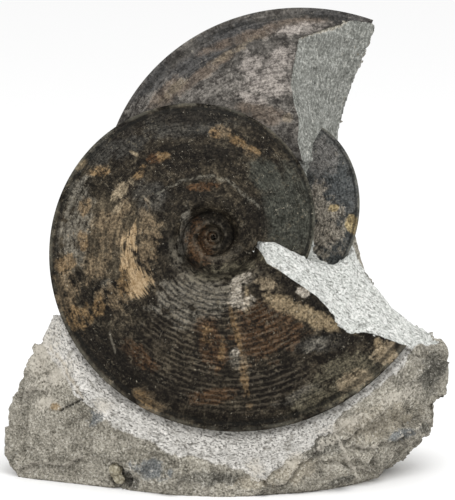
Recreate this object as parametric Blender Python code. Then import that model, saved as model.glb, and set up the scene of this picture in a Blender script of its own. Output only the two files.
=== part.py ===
"""Three keeled ammonites in a block of grey limestone. Metres, +Z up, faces towards -Y."""

import math

import bmesh
import bpy
import numpy as np

MM = 0.001

# The large disc leans back by LEAN. Points written (x, up, out) are in its plane, in millimetres:
# x to the right, up along the leaning plane from the foot of the block, out square to it, forwards.
LEAN = math.radians(10)
FOOT_MIDDLE = 38.0  # from the foot of the leaning plane back to the origin, mid foot

GAP = 0.45  # clearance between a shell and the rock around it
EDGE = 0.15  # how far the rock reaches past the edge of a break
WHORL_GROWTH = 2.33  # how many times larger the coil gets in one turn
UMBILICUS = 0.185  # radius of the inner opening over the radius of the coil
HALF_THICKNESS = 0.205  # half the thickness of a whorl over the radius of the coil
KEEL_HALF_WIDTH = 0.0105  # half the width of the keel strip over the radius of the coil
FLANK_POWER = 1.7  # how late the flank curves down towards the keel
SECTOR_INNER_EDGE = 0.12  # where a partial whorl starts, 0 at the inner opening and 1 at the keel

MAIN_CENTRE = (-10.6, 154.3, 0.0)
MAIN_RADIUS = 62.6  # radius of the coil straight to the right of the centre
MAIN_COLUMNS = 54
MAIN_INNER_TURNS = 2
MAIN_END = 343.0  # angle of the broken mouth at the inner opening, in degrees
REAR_CENTRE = (26.9, 163.8, -41.0)
REAR_RADIUS = 158.6
REAR_GROWTH = 2.39
REAR_HALF_THICKNESS = 0.185
REAR_SPAN = (205.0, 20.0)
REAR_COLUMNS = 26

SIDE_CENTRE = (36.1, 178.5, -46.0)
SIDE_RADIUS = 54.6
SIDE_GROWTH = 2.1
SIDE_TURN = math.radians(37)  # about the up axis, right edge forwards
SIDE_SPAN = (75.0, -62.0)
SIDE_HALF_THICKNESS = 0.22
SIDE_COLUMNS = 18

INNER_ROWS = (0.0, 0.045, 0.11, 0.2)
OUTER_ROWS = (0.45, 0.58, 0.7, 0.82, 0.91, 0.968, 0.985, 1.0)
BACK_ROWS = (0.11, 0.6, 0.85, 0.968, 1.0)

# Outline of the block: its front from the rim of the trough to the foot, then the hidden back.
BASE_FRONT = (
    (-112.5, 86.0, -26.0), (-104.5, 104.5, -12.0), (-88.0, 98.0, 2.0), (-84.0, 70.0, 5.0),
    (-52.0, 44.0, 13.0), (-4.0, 32.0, 18.0), (40.0, 30.0, 17.0), (61.0, 32.0, 13.0),
    (70.0, 50.7, 7.5), (84.0, 60.8, 3.0), (101.0, 70.6, -1.0), (115.0, 86.4, -8.0),
    (131.8, 84.2, -28.0), (119.0, 94.5, -24.0),
)
BASE_FLANKS = (
    (-119.4, 73.0, -30.0), (-125.6, 63.0, -32.0), (-133.6, 41.5, -36.0), (-134.8, 20.0, -38.0),
    (-131.0, 12.2, -34.0), (133.2, 53.1, -38.0), (131.6, 64.0, -36.0), (127.8, 41.5, -38.0),
    (121.6, 32.3, -40.0), (104.6, 18.2, -38.0), (94.8, 10.3, -36.0), (66.0, 12.0, 6.0),
    (30.0, 10.0, 15.0),
)
# The foot of the block, (x, distance back from the foot of the leaning plane), going round.
BASE_FOOT = (
    (-122.6, 30.0), (-101.0, 21.0), (-80.0, 12.0), (-53.0, 1.0), (-30.0, -13.0), (-3.0, -17.0),
    (26.0, -9.0), (55.0, 5.0), (74.0, 18.0), (82.0, 34.0), (86.0, 62.0), (60.0, 88.0), (10.0, 96.0),
    (-60.0, 94.0), (-104.0, 78.0), (-123.0, 54.0),
)
BASE_BACK = (
    (-119.0, 60.0, -70.0), (-127.0, 34.0, -72.0), (-101.0, 90.0, -60.0), (118.0, 82.0, -60.0),
    (124.0, 54.0, -64.0), (102.0, 103.0, -50.0), (60.0, 30.0, -92.0), (-50.0, 30.0, -96.0),
    (-90.0, 60.0, -84.0),
)

# Rock behind the discs.
BACK_MASS = (
    (-100.0, 22.0, -30.0), (84.0, 22.0, -30.0), (-92.0, 24.0, -88.0), (70.0, 22.0, -90.0),
    (-92.0, 110.0, -10.0), (88.0, 112.0, -24.0), (-86.0, 108.0, -78.0), (74.0, 100.0, -80.0),
    (-36.0, 90.0, -95.0), (22.0, 118.0, -93.0), (-88.0, 164.0, -34.0), (-80.0, 172.0, -16.0),
    (-84.0, 188.0, -46.0), (-60.0, 180.0, -74.0), (4.0, 176.0, -84.0), (62.0, 150.0, -76.0),
    (66.0, 196.0, -46.0), (-50.0, 214.0, -30.0), (-34.0, 226.0, -60.0), (46.0, 232.0, -58.0),
    (64.0, 210.0, -38.0), (40.0, 226.0, -26.0), (72.0, 140.0, -34.0),
)

# The slope between the broken mouth and the older whorl: its lower edge, then its upper edge.
SLOPE_LOWER = (
    (16.0, 147.0, 8.0), (23.0, 136.5, 21.5), (35.5, 128.6, 24.8), (43.0, 123.5, 24.0),
    (53.0, 116.5, 21.6), (61.5, 107.5, 18.5), (66.6, 99.5, 16.0), (72.0, 95.2, 13.5),
    (81.5, 95.0, 10.0), (91.0, 92.6, 7.0), (99.5, 89.4, 3.0), (109.5, 85.4, -1.0),
    (121.0, 81.5, -6.0),
)
SLOPE_UPPER = (
    (17.0, 149.5, 8.5), (27.5, 149.0, 10.5), (37.5, 143.5, 7.5), (44.0, 140.5, 3.5),
    (50.5, 137.5, -1.0), (58.0, 135.6, -7.0), (65.5, 134.8, -12.0), (75.8, 142.8, -18.0),
    (81.8, 130.8, -20.0), (89.4, 121.2, -22.0), (99.4, 108.6, -23.0), (109.6, 100.8, -25.0),
    (124.4, 91.0, -30.0),
)
SLOPE_DEPTH = -48.0
# The rest of the outline of what is missing ahead of the broken mouth, (x, up).
MOUTH_OUTSIDE = ((160.0, 60.0), (160.0, 150.0), (64.0, 141.0))
MOUTH_INNER_POINTS = 5  # how many points of the slope's upper edge lie along the older whorl

# The broken end of the rear shell, filled with sediment: (x, up) on its front edge, then its far edge.
FACET_FRONT = (
    (88.5, 283.0), (82.0, 284.0), (75.0, 284.8), (66.0, 281.2), (52.4, 276.5), (43.0, 273.5),
    (40.8, 258.0), (38.4, 245.0), (40.0, 234.0), (43.0, 224.0), (42.4, 209.0), (45.4, 196.0),
)
FACET_REAR = (
    (89.8, 282.4), (90.2, 281.4), (90.0, 279.0), (88.6, 275.6), (86.6, 271.0), (83.2, 264.0),
    (79.8, 254.3), (75.2, 241.5), (72.4, 232.2), (70.0, 221.6), (68.2, 213.0), (66.0, 200.0),
)
FACET_EDGE = 1.5  # thickness left at the far edge
# The rest of the outline of what is missing of the rear shell, (x, up).
REAR_OUTSIDE = ((20.0, 196.0), (20.0, 60.0), (180.0, 60.0), (180.0, 330.0), (91.0, 330.0))

# The trough round the large disc: (distance out from the keel, height), out from the seat.
TROUGH = (
    (-30.0, -6.0), (1.5, -5.0), (6.0, -2.5), (11.0, 2.5), (16.0, 9.0), (21.0, 18.0), (40.0, 70.0),
)
TROUGH_COLUMNS = 22
TROUGH_SPAN = (150.0, 343.0)

# A small hollow at the foot of the block with a little fossil in it: centre, then half sizes.
HOLLOW = ((-64.0, 8.0, -1.0), (8.5, 8.0, 9.0))
SMALL_FOSSIL = (((-67.3, 12.0, -2.5), (4.2, 4.6, 5.0)), ((-65.0, 6.8, -3.5), (4.2, 3.8, 4.5)))


def leaning(x, up, out):
    """A point given in the leaning plane, in millimetres, as a point of the scene in metres."""
    y = up * math.sin(LEAN) - out * math.cos(LEAN) - FOOT_MIDDLE
    z = up * math.cos(LEAN) + out * math.sin(LEAN)
    return (x * MM, y * MM, z * MM)


def flank(s):
    """Height of the flank at s, 0 at the inner opening and 1 at the keel, over the half thickness."""
    curve = 1.0 - max(s, 0.0) ** FLANK_POWER
    shoulder = min(1.0, 0.42 + 0.58 * math.sin(min(1.0, s / 0.11) * math.pi / 2))
    return curve * shoulder


def seam_of(growth):
    """Where the next whorl's inner edge lies on this whorl's flank."""
    return (growth - 1.0) * UMBILICUS / (1.0 - UMBILICUS)


def add_object(name, verts, faces):
    """A mesh object from points in metres, with its normals facing out."""
    mesh = bpy.data.meshes.new(name)
    mesh.from_pydata(verts, [], faces)
    form = bmesh.new()
    form.from_mesh(mesh)
    bmesh.ops.recalc_face_normals(form, faces=form.faces)
    if form.calc_volume(signed=True) < 0:
        bmesh.ops.reverse_faces(form, faces=form.faces)
    bmesh.ops.triangulate(form, faces=form.faces)
    form.to_mesh(mesh)
    form.free()
    obj = bpy.data.objects.new(name, mesh)
    bpy.context.scene.collection.objects.link(obj)
    return obj


def hull(name, points):
    """The convex hull of points given in metres."""
    mesh = bpy.data.meshes.new(name)
    form = bmesh.new()
    for point in points:
        form.verts.new(point)
    result = bmesh.ops.convex_hull(form, input=form.verts)
    loose = [v for v in result["geom_interior"] if isinstance(v, bmesh.types.BMVert)]
    bmesh.ops.delete(form, geom=loose, context="VERTS")
    form.to_mesh(mesh)
    form.free()
    obj = bpy.data.objects.new(name, mesh)
    bpy.context.scene.collection.objects.link(obj)
    return obj


def strip_prism(name, lower, upper, depth):
    """A solid whose front is the strip between two edges and whose back is flat at depth."""
    count = len(lower)
    front = list(lower) + list(upper)
    verts = [leaning(*p) for p in front] + [leaning(p[0], p[1], depth) for p in front]
    faces = []
    rim = list(range(count)) + list(range(2 * count - 1, count - 1, -1))
    for i in range(count - 1):
        faces.append((i, i + 1, count + i + 1))
        faces.append((i, count + i + 1, count + i))
        faces.append((2 * count + i, 3 * count + i + 1, 2 * count + i + 1))
        faces.append((2 * count + i, 3 * count + i, 3 * count + i + 1))
    for a, b in zip(rim, rim[1:] + rim[:1]):
        faces.append((a, b, 2 * count + b))
        faces.append((a, 2 * count + b, 2 * count + a))
    return add_object(name, verts, faces)


def coiled_shell(name, centre, radius, growth, columns, turns, end):
    """A whole keeled shell: its front coils down into the inner opening, its back is plain."""
    rate = math.log(growth) / (2 * math.pi)
    seam = seam_of(growth)
    rows = INNER_ROWS + (seam,) + OUTER_ROWS
    inner = len(INNER_ROWS)
    last = len(rows) - 1
    verts = []
    faces = []
    index = {}

    def place(turn, column, s, side):
        share = column / columns
        if turn == turns:
            s = seam - (seam - s) * min(1.0, 2.0 * share)
        angle = math.radians(end - 360.0 * (1 - share))
        coil = radius * math.exp(rate * (angle - 2 * math.pi * turn))
        rho = coil * (UMBILICUS + (1 - UMBILICUS) * s)
        height = HALF_THICKNESS * coil * max(flank(s), 0.0)
        if s == 0.0:
            height = HALF_THICKNESS * coil * flank(seam) / growth
        height = max(height, KEEL_HALF_WIDTH * coil)
        x = centre[0] + rho * math.cos(angle)
        up = centre[1] + rho * math.sin(angle)
        return leaning(x, up, centre[2] + side * height)

    def front(turn, column, row):
        if turn == turns and column == 0:
            row = inner
        if turn > 0 and row == inner:
            turn, row = turn - 1, 0
        if turn > 0 and column == columns:
            turn, column = turn - 1, 0
        if turn == 0 and column == columns and row == 0:
            column, row = 0, inner
        key = (turn, column, row)
        if key not in index:
            index[key] = len(verts)
            verts.append(place(turn, column, rows[row], 1))
        return index[key]

    back_rows = (0.0,) + BACK_ROWS[:1] + (seam,) + BACK_ROWS[1:]
    back_seam = 2
    back_last = len(back_rows) - 1

    def back(column, row):
        if column == columns and row == 0:
            column, row = 0, back_seam
        key = ("back", column, row)
        if key not in index:
            index[key] = len(verts)
            verts.append(place(0, column, back_rows[row], -1))
        return index[key]

    for turn in range(turns + 1):
        top = last if turn == 0 else inner
        for column in range(columns):
            for row in range(top):
                a, b = front(turn, column, row), front(turn, column + 1, row)
                c, d = front(turn, column + 1, row + 1), front(turn, column, row + 1)
                for corner in ((a, b, c), (a, c, d)):
                    if len(set(corner)) == 3:
                        faces.append(corner)
    loop = [front(turns, column, 0) for column in range(columns)]
    middle = len(verts)
    depth = HALF_THICKNESS * radius * growth ** -(turns + 1.0) * 0.5
    verts.append(leaning(centre[0], centre[1], centre[2] + depth))
    for a, b in zip(loop, loop[1:] + loop[:1]):
        if a != b:
            faces.append((middle, b, a))
    for column in range(columns):
        for row in range(back_last):
            a, b = back(column, row), back(column + 1, row)
            c, d = back(column + 1, row + 1), back(column, row + 1)
            faces.append((a, c, b))
            faces.append((a, d, c))
        a, b = front(0, column, last), front(0, column + 1, last)
        c, d = back(column + 1, back_last), back(column, back_last)
        faces.append((a, b, c))
        faces.append((a, c, d))
    loop = [back(column, 0) for column in range(columns + 1)]
    loop += [back(0, row) for row in range(back_seam - 1, 0, -1)]
    middle = len(verts)
    verts.append(leaning(centre[0], centre[1], centre[2] - HALF_THICKNESS * radius * 0.3))
    for a, b in zip(loop, loop[1:] + loop[:1]):
        if a != b:
            faces.append((middle, a, b))
    # The end of the last whorl: a flat band from its last profile to the profile one turn before it.
    outer = [front(0, columns, row) for row in range(last + 1)]
    outer += [back(columns, row) for row in range(back_last, -1, -1)]
    older = [front(0, 0, row) for row in range(inner, last + 1)]
    older += [back(0, row) for row in range(back_last, back_seam - 1, -1)]
    bridge(verts, faces, outer, older)
    return add_object(name, verts, faces)


def bridge(verts, faces, first, second):
    """Triangles between two chains that share their end points, always taking the shorter diagonal."""
    points = np.array(verts)
    i = j = 0
    while i < len(first) - 1 or j < len(second) - 1:
        step_first = step_second = math.inf
        if i < len(first) - 1:
            step_first = np.linalg.norm(points[first[i + 1]] - points[second[j]])
        if j < len(second) - 1:
            step_second = np.linalg.norm(points[first[i]] - points[second[j + 1]])
        if step_first <= step_second:
            corner = (first[i], first[i + 1], second[j])
            i += 1
        else:
            corner = (first[i], second[j + 1], second[j])
            j += 1
        if len(set(corner)) == 3:
            faces.append(corner)


def rear_height(x, up):
    """Height of the rear shell's flank above its middle plane at a place in the leaning plane."""
    across = x - REAR_CENTRE[0]
    along = up - REAR_CENTRE[1]
    rate = -math.log(REAR_GROWTH) / (2 * math.pi)
    coil = REAR_RADIUS * math.exp(rate * math.atan2(along, across))
    s = (math.hypot(across, along) / coil - UMBILICUS) / (1 - UMBILICUS)
    height = REAR_HALF_THICKNESS * coil * (1.0 - min(1.0, s) ** FLANK_POWER)
    return max(height, KEEL_HALF_WIDTH * coil)


def whorl_sector(name, centre, radius, growth, thick, span, columns, turn):
    """Part of a shell's last whorl, growing clockwise, closed at both ends and along its inside."""
    rate = -math.log(growth) / (2 * math.pi)
    front_rows = (SECTOR_INNER_EDGE, 0.3, 0.5, 0.68, 0.82, 0.91, 0.968, 0.985, 1.0)
    back_rows = (1.0, 0.968, 0.85, 0.6, SECTOR_INNER_EDGE)
    profile = [(s, 1) for s in front_rows] + [(s, -1) for s in back_rows]
    verts = []
    faces = []
    for column in range(columns + 1):
        angle = math.radians(span[0] + (span[1] - span[0]) * column / columns)
        coil = radius * math.exp(rate * angle)
        for s, side in profile:
            rho = coil * (UMBILICUS + (1 - UMBILICUS) * s)
            height = side * max(thick * coil * (1.0 - s ** FLANK_POWER), KEEL_HALF_WIDTH * coil)
            across = rho * math.cos(angle)
            x = centre[0] + across * math.cos(turn) - height * math.sin(turn)
            out = centre[2] + across * math.sin(turn) + height * math.cos(turn)
            verts.append(leaning(x, centre[1] + rho * math.sin(angle), out))
    count = len(profile)
    for column in range(columns):
        for row in range(count):
            a, b = column * count + row, column * count + (row + 1) % count
            faces.append((a, b, b + count))
            faces.append((a, b + count, a + count))
    for start in (0, columns * count):
        for row in range(len(front_rows) - 1):
            low, high = start + row, start + row + 1
            share = round((len(back_rows) - 1) * row / (len(front_rows) - 1))
            share_next = round((len(back_rows) - 1) * (row + 1) / (len(front_rows) - 1))
            far, far_next = start + count - 1 - share, start + count - 1 - share_next
            faces.append((low, high, far_next))
            if far != far_next:
                faces.append((low, far_next, far))
    return add_object(name, verts, faces)


def plate(name, outline, low, high):
    """A solid with the given (x, up) outline, straight through between two heights."""
    count = len(outline)
    verts = [leaning(x, up, height) for height in (low, high) for x, up in outline]
    faces = [tuple(range(count)), tuple(range(count, 2 * count))]
    for i in range(count):
        faces.append((i, (i + 1) % count, count + (i + 1) % count, count + i))
    return add_object(name, verts, faces)


def lump(name, centre, half, detail):
    """A rounded lump with the given half sizes."""
    form = bmesh.new()
    bmesh.ops.create_icosphere(form, subdivisions=detail, radius=1.0)
    verts = [leaning(*[c + h * part for c, h, part in zip(centre, half, v.co)]) for v in form.verts]
    faces = [tuple(v.index for v in face.verts) for face in form.faces]
    form.free()
    return add_object(name, verts, faces)


def trough_cutter():
    """The space in front of the trough that was worked round the lower edge of the large disc."""
    rate = math.log(WHORL_GROWTH) / (2 * math.pi)
    verts = []
    faces = []
    count = len(TROUGH)
    for column in range(TROUGH_COLUMNS + 1):
        share = column / TROUGH_COLUMNS
        angle = math.radians(TROUGH_SPAN[0] + (TROUGH_SPAN[1] - TROUGH_SPAN[0]) * share)
        coil = MAIN_RADIUS * math.exp(rate * angle)
        for away, height in TROUGH:
            rho = coil + away
            x = MAIN_CENTRE[0] + rho * math.cos(angle)
            up = MAIN_CENTRE[1] + rho * math.sin(angle)
            verts.append(leaning(x, up, height))
        x = MAIN_CENTRE[0] + (coil - 30.0) * math.cos(angle)
        up = MAIN_CENTRE[1] + (coil - 30.0) * math.sin(angle)
        verts.append(leaning(x, up, TROUGH[-1][1]))
    count += 1
    for column in range(TROUGH_COLUMNS):
        for row in range(count):
            a, b = column * count + row, column * count + (row + 1) % count
            faces.append((a, b, b + count, a + count))
    faces.append(tuple(range(count)))
    faces.append(tuple(range(TROUGH_COLUMNS * count, (TROUGH_COLUMNS + 1) * count)))
    return add_object("trough_cutter", verts, faces)


def hide(obj):
    """Marks a helper that isn't part of the object."""
    obj.hide_render = True
    obj.display_type = "WIRE"
    return obj


def swollen(obj, by=GAP):
    """A hidden copy grown by a small amount, to cut clearance with."""
    copy = obj.copy()
    copy.data = obj.data.copy()
    copy.name = obj.name + "_cutter"
    bpy.context.scene.collection.objects.link(copy)
    grow = copy.modifiers.new("grow", "DISPLACE")
    grow.strength = by * MM
    grow.mid_level = 0.0
    return hide(copy)


def boolean(obj, other, operation, solver="EXACT"):
    """Adds one Boolean step."""
    step = obj.modifiers.new(operation.lower() + "_" + other.name, "BOOLEAN")
    step.operation = operation
    step.solver = solver
    step.object = other
    return step


def settle(obj):
    """Turns the object's modifiers into plain mesh and drops what collapsed."""
    graph = bpy.context.evaluated_depsgraph_get()
    mesh = bpy.data.meshes.new_from_object(obj.evaluated_get(graph))
    obj.modifiers.clear()
    obj.data = mesh
    form = bmesh.new()
    form.from_mesh(mesh)
    bmesh.ops.remove_doubles(form, verts=form.verts, dist=0.00002)
    bmesh.ops.dissolve_degenerate(form, edges=form.edges, dist=0.00002)
    bmesh.ops.triangulate(form, faces=form.faces)
    form.to_mesh(mesh)
    form.free()
    return obj


def keep_largest(obj):
    """Removes crumbs that the cuts left apart from the main body."""
    form = bmesh.new()
    form.from_mesh(obj.data)
    left = set(form.verts)
    groups = []
    while left:
        queue = [left.pop()]
        group = set(queue)
        while queue:
            vert = queue.pop()
            for edge in vert.link_edges:
                other = edge.other_vert(vert)
                if other not in group:
                    group.add(other)
                    left.discard(other)
                    queue.append(other)
        groups.append(group)
    groups.sort(key=len)
    for group in groups[:-1]:
        bmesh.ops.delete(form, geom=list(group), context="VERTS")
    form.to_mesh(obj.data)
    form.free()
    return len(groups)


def material(name, colour, roughness):
    """A plain shader for one kind of stone."""
    made = bpy.data.materials.new(name)
    made.use_nodes = True
    shader = made.node_tree.nodes["Principled BSDF"]
    shader.inputs["Base Color"].default_value = (*colour, 1.0)
    shader.inputs["Roughness"].default_value = roughness
    return made


for old in list(bpy.data.objects):
    bpy.data.objects.remove(old, do_unlink=True)

limestone = material("limestone", (0.42, 0.40, 0.36), 0.9)
main_shell = material("main_shell", (0.075, 0.055, 0.04), 0.45)
rear_shell = material("rear_shell", (0.12, 0.095, 0.075), 0.5)
pale_shell = material("pale_shell", (0.45, 0.43, 0.36), 0.5)
side_shell = material("side_shell", (0.1, 0.095, 0.095), 0.5)

main_form = (MAIN_CENTRE, MAIN_RADIUS, WHORL_GROWTH, MAIN_COLUMNS)
main = coiled_shell("main_ammonite", *main_form, MAIN_INNER_TURNS, MAIN_END)
main_clear = swollen(hide(coiled_shell("main_room", *main_form, 1, MAIN_END)))
mouth_outline = [p[:2] for p in SLOPE_LOWER] + list(MOUTH_OUTSIDE)
mouth_outline += [p[:2] for p in reversed(SLOPE_UPPER[:MOUTH_INNER_POINTS])]
mouth = hide(plate("mouth_break", mouth_outline, -80.0, 80.0))
boolean(main_clear, swollen(mouth, EDGE), "DIFFERENCE")

rear_form = (REAR_CENTRE, REAR_RADIUS, REAR_GROWTH, REAR_HALF_THICKNESS, REAR_SPAN, REAR_COLUMNS)
rear = whorl_sector("rear_ammonite", *rear_form, 0.0)
side_form = (SIDE_CENTRE, SIDE_RADIUS, SIDE_GROWTH, SIDE_HALF_THICKNESS, SIDE_SPAN, SIDE_COLUMNS)
side = whorl_sector("side_ammonite", *side_form, SIDE_TURN)

facet_front = [(x, up, REAR_CENTRE[2] + rear_height(x, up) - 0.3) for x, up in FACET_FRONT]
facet_rear = [(x, up, REAR_CENTRE[2] - rear_height(x, up) + FACET_EDGE) for x, up in FACET_REAR]
facet = hide(strip_prism("facet_fill", facet_front, facet_rear, -110.0))
whorl_fill = hide(rear.copy())
whorl_fill.data = rear.data.copy()
bpy.context.scene.collection.objects.link(whorl_fill)
boolean(facet, whorl_fill, "INTERSECT")
rear_break = hide(plate("rear_break", list(FACET_FRONT + REAR_OUTSIDE), -130.0, 60.0))

# Each shell keeps clear of the rock, of the breaks' edges and of the shell in front of it.
boolean(main, swollen(mouth), "DIFFERENCE")
rear_clear = swollen(rear)
side_clear = swollen(side)
boolean(rear_clear, swollen(rear_break, EDGE), "DIFFERENCE")
boolean(rear, swollen(rear_break), "DIFFERENCE")
boolean(rear, main_clear, "DIFFERENCE")
for helper in (main_clear, rear_clear, swollen(facet, 0.6)):
    boolean(side, helper, "DIFFERENCE")
for shell, stone in ((main, main_shell), (rear, rear_shell), (side, side_shell)):
    settle(shell)
    keep_largest(shell)
    shell.data.materials.clear()
    shell.data.materials.append(stone)

foot = [(x * MM, (back - FOOT_MIDDLE) * MM, z) for x, back in BASE_FOOT for z in (-10 * MM, 0.0)]
rock = hull("matrix_rock", [leaning(*p) for p in BASE_FRONT + BASE_FLANKS + BASE_BACK] + foot)
parts = [
    hull("back_mass", [leaning(*p) for p in BACK_MASS]),
    strip_prism("slope", SLOPE_LOWER, SLOPE_UPPER, SLOPE_DEPTH),
]
for part in parts:
    hide(part)

# The rock meets many skins that run almost along each other: only the manifold solver stays closed.
trough = hide(trough_cutter())
boolean(rock, trough, "DIFFERENCE", "MANIFOLD")
for part in parts + [facet]:
    boolean(rock, part, "UNION", "MANIFOLD")

hollow = hide(lump("hollow_cutter", *HOLLOW, 2))
crystals = hide(lump("crystals", *SMALL_FOSSIL[1], 1))
fossil = lump("small_fossil", *SMALL_FOSSIL[0], 2)
boolean(fossil, crystals, "UNION")
fossil_clear = swollen(fossil)
settle(fossil)
fossil.data.materials.append(pale_shell)

below = [(x, y, z) for x in (-0.3, 0.3) for y in (-0.2, 0.3) for z in (-0.1, 0.0)]
ground = hide(hull("ground_cutter", below))
for cutter in (hollow, ground, main_clear, rear_clear, side_clear, fossil_clear):
    boolean(rock, cutter, "DIFFERENCE", "MANIFOLD")
settle(rock)
keep_largest(rock)
rock.data.materials.clear()
rock.data.materials.append(limestone)

for obj in (rock, main, rear, side, fossil):
    obj.data.polygons.foreach_set("use_smooth", [True] * len(obj.data.polygons))
    obj.data.set_sharp_from_angle(angle=math.radians(28))
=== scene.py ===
"""The looks of a block with three keeled ammonites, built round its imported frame.

Lengths are in millimetres until a mesh is made, and meshes are in metres. A place is often given as
(x, up, out) in the leaning plane of the large disc: x to the right, up along the plane, out square to
it towards the viewer. Markings are placed by photograph pixels, with x to the right and y down.
Colours are from 0 to 255 a channel.
"""

import math

import bmesh
import bpy
import numpy as np
import openvdb
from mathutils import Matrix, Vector


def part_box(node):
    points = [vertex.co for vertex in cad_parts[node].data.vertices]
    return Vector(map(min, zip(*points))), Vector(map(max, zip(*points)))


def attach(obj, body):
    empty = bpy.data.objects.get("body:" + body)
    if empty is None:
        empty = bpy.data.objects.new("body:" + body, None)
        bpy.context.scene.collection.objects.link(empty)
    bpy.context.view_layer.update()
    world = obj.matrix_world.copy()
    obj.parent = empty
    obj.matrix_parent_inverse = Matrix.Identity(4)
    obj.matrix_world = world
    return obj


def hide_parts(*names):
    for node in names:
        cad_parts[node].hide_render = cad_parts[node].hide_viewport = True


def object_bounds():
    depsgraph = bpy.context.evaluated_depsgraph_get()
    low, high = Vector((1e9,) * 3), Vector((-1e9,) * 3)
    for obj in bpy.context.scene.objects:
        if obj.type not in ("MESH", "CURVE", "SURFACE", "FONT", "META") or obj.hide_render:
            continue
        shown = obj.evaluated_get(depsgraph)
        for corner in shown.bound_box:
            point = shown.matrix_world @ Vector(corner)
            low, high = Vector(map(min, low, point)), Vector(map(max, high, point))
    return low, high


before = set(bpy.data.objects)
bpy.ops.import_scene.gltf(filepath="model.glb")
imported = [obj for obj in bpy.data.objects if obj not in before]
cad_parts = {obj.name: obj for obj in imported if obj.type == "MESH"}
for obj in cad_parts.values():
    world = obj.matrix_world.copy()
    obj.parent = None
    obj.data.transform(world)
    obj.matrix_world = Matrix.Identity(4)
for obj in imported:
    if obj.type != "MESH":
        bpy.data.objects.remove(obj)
cad_low, cad_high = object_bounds()

MM = 0.001
LEAN = math.radians(10)
FOOT_MIDDLE = 38.0  # from the foot of the leaning plane back to the origin
PIXEL = 0.6  # millimetres to a photograph pixel in the leaning plane
PIXEL_ZERO = (228.0, 490.3)  # the pixel at x 0, up 0
VIEW_UP = 144.2  # where the camera looks, up the leaning plane
VIEW_DISTANCE = 2000.0
VIEW_HEIGHT = 300.0  # what the photograph's height spans at that distance

# The coils, as in the frame's solids.
UMBILICUS = 0.185  # radius of the inner opening over the radius of the coil
KEEL_HALF_WIDTH = 0.0105  # over the radius of the coil
FLANK_POWER = 1.7  # how late the flank curves down
OPENING_EDGE = 0.11  # where the shoulder round the opening ends, across the whorl from 0 to 1
KEEL_START = 0.968  # and where the keel starts
RELIEF_RADIUS = 110  # the radius of the coil at which growth lines have their full height
# The inner whorls of the large disc sit a little off the centre of its outer one, by "shift".
MAIN = {"centre": (-10.6, 154.3, 0.0), "radius": 62.6, "growth": 2.33, "thick": 0.205, "turn": 0.0,
        "shift": (2.1, -2.3)}
REAR = {"centre": (26.9, 163.8, -41.0), "radius": 158.6, "growth": 1 / 2.39, "thick": 0.185, "turn": 0.0,
        "shift": (0.0, 0.0)}
SIDE = {"centre": (36.1, 178.5, -46.0), "radius": 54.6, "growth": 1 / 2.1, "thick": 0.22,
        "turn": math.radians(37), "shift": (0.0, 0.0)}
MAIN_END = 343.0
REAR_START = 205.0
SIDE_SPAN = (75.0, -62.0)
SEAM = (MAIN["growth"] - 1) * UMBILICUS / (1 - UMBILICUS)  # where the next whorl starts on this one

# Broken edges, (x, up), from the inner opening out to the keel.
MOUTH_EDGE = (
   (16, 147), (23, 136.5), (35.5, 128.6), (43, 123.5), (53, 116.5), (61.5, 107.5), (66.6, 99.5),
    (72, 95.2), (81.5, 95), (91, 92.6), (99.5, 89.4), (109.5, 85.4),
)
OLDER_EDGE = ((17, 149.5), (27.5, 149), (37.5, 143.5), (44, 140.5), (50.5, 137.5))
REAR_EDGE = (
   (45.4, 196), (42.4, 209), (43, 224), (40, 234), (38.4, 245), (40.8, 258), (43, 273.5), (52.4, 276.5),
    (66, 281.2), (75, 284.8), (88.5, 283),
)

# Outlines of the worked stone, in photograph pixels.
SLOPE_OUTLINE = (
   (255, 250), (263, 260), (278, 268), (288, 276), (301, 285), (316, 296), (329, 311), (338, 326),
    (344, 333), (362, 333), (379, 336), (393, 341), (409, 348), (421, 345), (437, 344), (422, 330),
    (408, 318), (392, 305), (384, 293), (375, 283), (363, 270), (357, 258), (350, 240), (311, 240),
    (290, 240), (255, 240),
)
FACET_OUTLINE = (
   (380, 18), (350, 22), (335, 30), (315, 36), (299, 41), (295, 64), (291, 85), (294, 103), (299, 119),
    (296, 143), (303, 180), (345, 150), (348, 124), (356, 92), (370, 54), (382, 30),
)
# How far out from the keel the worked band reaches, (angle in degrees, millimetres).
BAND_REACH = (
   (150, 0), (190, 4), (205, 5), (208, 12), (211, 16), (219, 17.5), (229, 18), (239, 16.6), (247, 17.7),
    (256, 16.7), (266, 17.4), (274, 20), (280, 26.7), (283, 28), (286, 23), (290, 17.3), (294, 17.2),
    (297, 14.4), (300, 14.9), (306, 6), (315, 4.5), (323, 5.5), (331, 5.1), (340, 3), (345, 0),
)


def smooth(value, low, high):
    """0 below low, 1 above high, smooth between. low may be the larger."""
    share = np.clip((value - low) / (high - low), 0, 1)
    return share * share * (3 - 2 * share)


def shift_share(rho):
    """How much of a coil's shift holds at a distance from its centre."""
    return 1 - smooth(rho, 20.0, 60.0)


def coil_at(coil, angle):
    """Radius of the coil, out to its keel, at an angle in degrees."""
    return coil["radius"] * np.exp(math.log(coil["growth"]) / 360 * angle)


def on_coil(coil, angle, rho, tall):
    """The place at an angle and a distance from the coil's centre, tall out of its middle plane."""
    turn = np.radians(angle)
    shifted = shift_share(rho)
    across = rho * np.cos(turn) + coil["shift"][0] * shifted
    x = coil["centre"][0] + across * math.cos(coil["turn"]) - tall * math.sin(coil["turn"])
    out = coil["centre"][2] + across * math.sin(coil["turn"]) + tall * math.cos(coil["turn"])
    return x, coil["centre"][1] + rho * np.sin(turn) + coil["shift"][1] * shifted, out


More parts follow.
